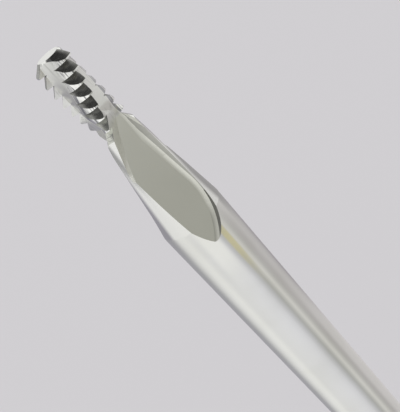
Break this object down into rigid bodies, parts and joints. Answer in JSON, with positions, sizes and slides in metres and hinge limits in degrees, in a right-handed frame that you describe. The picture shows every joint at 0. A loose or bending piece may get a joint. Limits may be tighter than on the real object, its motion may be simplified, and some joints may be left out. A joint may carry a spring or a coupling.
{
  "type": "endodontic file",
  "caption": "Engine-driven endodontic file: toothed, helically fluted steel tip on a conical neck and round shaft, latch handle with colour rings, sliding silicone depth stop.",
  "frame": {"origin": "on the tool axis, where the latch shank meets the shoulder of the handle", "axes": "+Z along the tool axis towards the cutting tip, +X out of the driving flat of the latch"},
  "size_m": [0.0052, 0.0042, 0.032],
  "materials": {
    "steel": "ground and polished",
    "gold_plate": "turned, bright plate",
    "ring_colour": "smooth",
    "silicone": "matt"
  },
  "bodies": {
    "file": {"file_blade": "steel", "latch_handle": "gold_plate", "rear_ring": "ring_colour", "front_ring": "ring_colour"},
    "stop": {"depth_stop": "silicone"}
  },
  "joints": [
    {"name": "stop_slide", "type": "slide", "parent": "file", "child": "stop", "axis": [0, 0, 1], "range_m": [0, 0.011]}
  ]
}
